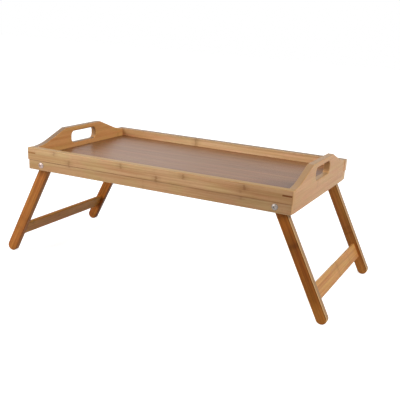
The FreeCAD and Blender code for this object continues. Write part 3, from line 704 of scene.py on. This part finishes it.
def turned(name, rings, ring_closed=False):
    """Make a mesh from rings, each a height and a radius, which may vary by angle."""
    shape = bmesh.new()
    turns = [2 * math.pi * step / RING_POINTS for step in range(RING_POINTS)]
    loops = []
    for height, radius in rings:
        reach = [radius(turn) if callable(radius) else radius for turn in turns]
        loops.append([shape.verts.new((far * math.cos(turn), far * math.sin(turn), height))
                      for far, turn in zip(reach, turns)])
    after = loops[1:] + loops[:1] if ring_closed else loops[1:]
    for loop, other in zip(loops, after):
        for step in range(RING_POINTS):
            ahead = (step + 1) % RING_POINTS
            shape.faces.new((loop[step], loop[ahead], other[ahead], other[step]))
    if not ring_closed:
        shape.faces.new(loops[0])
        shape.faces.new(loops[-1])
    bmesh.ops.recalc_face_normals(shape, faces=shape.faces)
    for face in shape.faces:
        face.smooth = True
    for edge in shape.edges:
        edge.smooth = edge.calc_face_angle(0.0) < SHARP_ANGLE
    mesh = bpy.data.meshes.new(name)
    shape.to_mesh(mesh)
    shape.free()
    return bpy.data.objects.new(name, mesh)


def bolt_shape():
    """Make one pivot bolt: low dome, hexagon socket, shank and a threaded tip."""
    ball = (HEAD_WIDTH ** 2 / 4 + HEAD_HEIGHT ** 2) / (2 * HEAD_HEIGHT)

    def dome(radius):
        return ball - HEAD_HEIGHT - math.sqrt(ball ** 2 - radius ** 2)

    socket = hexagon(SOCKET_WIDTH)
    mouth = dome(MOUTH_RADIUS)
    rings = [(SOCKET_DEPTH - HEAD_HEIGHT, socket), (mouth + MOUTH_DEPTH, socket),
             (mouth, hexagon(MOUTH_WIDTH))]
    rings += [(dome(radius * MM), radius * MM) for radius in DOME_RINGS]
    rings += [(height * MM, HEAD_WIDTH / 2 - inset * MM) for height, inset in HEAD_RIM]
    start = BOLT_LENGTH - THREADS * THREAD_PITCH
    rings += [(0.0, BOLT_RADIUS), (start, BOLT_RADIUS)]
    for turn in range(THREADS):
        base = start + turn * THREAD_PITCH
        rings += [(base + THREAD_ROOT * THREAD_PITCH, BOLT_RADIUS - THREAD_DEPTH),
                  (base + THREAD_CREST * THREAD_PITCH, BOLT_RADIUS)]
    rings.append((BOLT_LENGTH, BOLT_RADIUS - BOLT_TIP))
    return turned("bolt shape", rings)


def nut_shape():
    """Make one lock nut: chamfered hexagon with a round collar at its free end."""
    corner = NUT_WIDTH / 2 / math.cos(math.pi / 6)
    collar = NUT_WIDTH / 2 - COLLAR_INSET
    rings = [(height * MM, hexagon(NUT_WIDTH, corner - inset * MM))
             for height, inset in NUT_CORNERS]
    rings += [(height * MM, collar - inset * MM) for height, inset in NUT_COLLAR]
    rings += [(height * MM, BOLT_RADIUS + gap * MM) for height, gap in NUT_BORE]
    return turned("nut shape", rings, ring_closed=True)


def corner_layout():
    """Make the node tree that sets a fastener at the four pivots, pointing inwards."""
    tree = bpy.data.node_groups.new("four pivots", "GeometryNodeTree")
    for name, kind in (("Fastener", "NodeSocketObject"), ("Pivot Span", "NodeSocketFloat"),
                       ("Face Span", "NodeSocketFloat"), ("Height", "NodeSocketFloat"),
                       ("Largest Turn", "NodeSocketFloat"), ("Seed", "NodeSocketInt"),
                       ("Material", "NodeSocketMaterial")):
        tree.interface.new_socket(name, in_out="INPUT", socket_type=kind)
    tree.interface.new_socket("Geometry", in_out="OUTPUT", socket_type="NodeSocketGeometry")
    make = Recipe(tree)
    given = make.put("NodeGroupInput").outputs
    grid = make.put("GeometryNodeMeshGrid", {
        "Size X": given["Pivot Span"], "Size Y": given["Face Span"],
        "Vertices X": 2, "Vertices Y": 2}).outputs["Mesh"]
    raised = make.put("GeometryNodeSetPosition", {
        "Geometry": grid, "Offset": make.join(0.0, 0.0, given["Height"])}).outputs[0]
    spot = make.put("GeometryNodeInputPosition").outputs[0]
    side = make.math("SIGN", make.split(spot)[1])
    inwards = make.put("FunctionNodeAxisAngleToRotation", {
        "Axis": (1.0, 0.0, 0.0),
        "Angle": make.math("MULTIPLY", side, math.pi / 2)}).outputs[0]
    shape = make.put("GeometryNodeObjectInfo", {
        "Object": given["Fastener"]}).outputs["Geometry"]
    copies = make.put("GeometryNodeInstanceOnPoints", {
        "Points": raised, "Instance": shape, "Rotation": inwards}).outputs[0]
    spin = make.put("FunctionNodeRandomValue", {
        RANDOM_LEAST: 0.0, RANDOM_MOST: given["Largest Turn"],
        "Seed": given["Seed"]}).outputs[RANDOM_RESULT]
    own = make.put("FunctionNodeAxisAngleToRotation", {
        "Axis": (0.0, 0.0, 1.0), "Angle": spin}).outputs[0]
    spun = make.put("GeometryNodeRotateInstances", {
        "Instances": copies, "Rotation": own, "Local Space": True}).outputs[0]
    real = make.put("GeometryNodeRealizeInstances", {"Geometry": spun}).outputs[0]
    done = make.put("GeometryNodeSetMaterial", {
        "Geometry": real, "Material": given["Material"]}).outputs[0]
    make.put("NodeGroupOutput", {"Geometry": done})
    return tree


def set_fasteners(tree, name, shape, node, face, seed, material):
    """Set four copies of a fastener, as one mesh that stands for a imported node."""
    scene = bpy.context.scene.collection.objects
    scene.link(shape)
    holder = bpy.data.objects.new(name + " layout", bpy.data.meshes.new(name + " layout"))
    scene.link(holder)
    layout = holder.modifiers.new("layout", "NODES")
    layout.node_group = tree
    values = {"Fastener": shape, "Pivot Span": 2 * PIVOT_REACH, "Face Span": 2 * face,
              "Height": PIVOT_HEIGHT, "Largest Turn": LARGEST_TURN, "Seed": seed,
              "Material": material}
    for socket in tree.interface.items_tree:
        if socket.in_out == "INPUT":
            layout[socket.identifier] = values[socket.name]
    ready = holder.evaluated_get(bpy.context.evaluated_depsgraph_get())
    piece = bpy.data.objects.new(name, bpy.data.meshes.new_from_object(ready))
    scene.link(piece)
    for helper in (holder, shape):
        bpy.data.objects.remove(helper)
    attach(piece, "tray")
    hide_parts(node)


def finish_metal():
    """Finish the washers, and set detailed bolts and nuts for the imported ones."""
    steel = plated_steel()
    for node in METAL_PIECES:
        finish_node(node, steel)
    layout = corner_layout()
    set_fasteners(layout, "pivot_bolt_set", bolt_shape(), "pivot_bolts", BOLT_FACE,
                  BOLT_TURN_SEED, steel)
    set_fasteners(layout, "lock_nut_set", nut_shape(), "lock_nuts", NUT_FACE,
                  NUT_TURN_SEED, steel)


def set_studio():
    """Set the white surround and the pale floor."""
    world = bpy.data.worlds.new("white studio")
    bpy.context.scene.world = world
    make = start_nodes(world)
    extra = make.math("MULTIPLY", make.seen(), 1.0 - WORLD_LEVEL)
    sky = make.put("ShaderNodeBackground", {
        "Color": WHITE, "Strength": make.math("ADD", extra, WORLD_LEVEL)})
    make.put("ShaderNodeOutputWorld", {"Surface": sky.outputs[0]})

    paper = bpy.data.materials.new("white paper")
    make = start_nodes(paper)
    matt = make.put("ShaderNodeBsdfDiffuse", {"Color": PAPER}).outputs[0]
    spot = make.put("ShaderNodeTexCoord").outputs["Object"]
    away = make.put("ShaderNodeVectorMath", {0: spot}, operation="LENGTH").outputs["Value"]
    glow = make.put("ShaderNodeEmission", {
        "Color": WHITE, "Strength": make.band(away, *GLOW_RANGE)}).outputs[0]
    both = make.put("ShaderNodeAddShader", {0: matt, 1: glow}).outputs[0]
    pick = make.put("ShaderNodeMixShader", {0: make.seen(), 1: matt, 2: both})
    make.put("ShaderNodeOutputMaterial", {"Surface": pick.outputs[0]})

    mesh = bpy.data.meshes.new("studio floor")
    corners = [(x * STUDIO_HALF, y * STUDIO_HALF, 0.0)
               for x, y in ((-1, -1), (1, -1), (1, 1), (-1, 1))]
    mesh.from_pydata(corners, [], [(0, 1, 2, 3)])
    mesh.materials.append(paper)
    floor = bpy.data.objects.new("studio_floor", mesh)
    bpy.context.scene.collection.objects.link(floor)


def set_lamps():
    """Set the soft lamps."""
    for name, place, aim, size, watts in LAMPS:
        lamp = bpy.data.lights.new(name, "AREA")
        lamp.shape = "SQUARE"
        lamp.size = size
        lamp.energy = watts
        holder = bpy.data.objects.new(name, lamp)
        holder.location = place
        holder.rotation_euler = (Vector(aim) - Vector(place)).to_track_quat(
            "-Z", "Y").to_euler()
        bpy.context.scene.collection.objects.link(holder)


def set_camera():
    """Set the camera at the photograph's viewing angle."""
    lens = bpy.data.cameras.new("camera")
    lens.sensor_width = SENSOR_WIDTH
    lens.lens = CAMERA_LENS
    lens.shift_x, lens.shift_y = CAMERA_SHIFT
    camera = bpy.data.objects.new("camera", lens)
    azimuth, elevation, roll = (math.radians(angle) for angle in CAMERA_ANGLES)
    back = Vector((math.sin(azimuth) * math.cos(elevation),
                   -math.cos(azimuth) * math.cos(elevation), math.sin(elevation)))
    level = Vector((0, 0, 1)).cross(back).normalized()
    upright = back.cross(level)
    right = level * math.cos(roll) + upright * math.sin(roll)
    turn = Matrix((right, back.cross(right), back)).transposed()
    camera.matrix_world = Matrix.Translation(CAMERA_PLACE) @ turn.to_4x4()
    bpy.context.scene.collection.objects.link(camera)
    bpy.context.scene.camera = camera


finish_rails()
finish_boards()
finish_floor()
finish_legs()
finish_small_wood()
finish_metal()
set_studio()
set_lamps()
set_camera()
bpy.context.scene.view_settings.view_transform = "Standard"
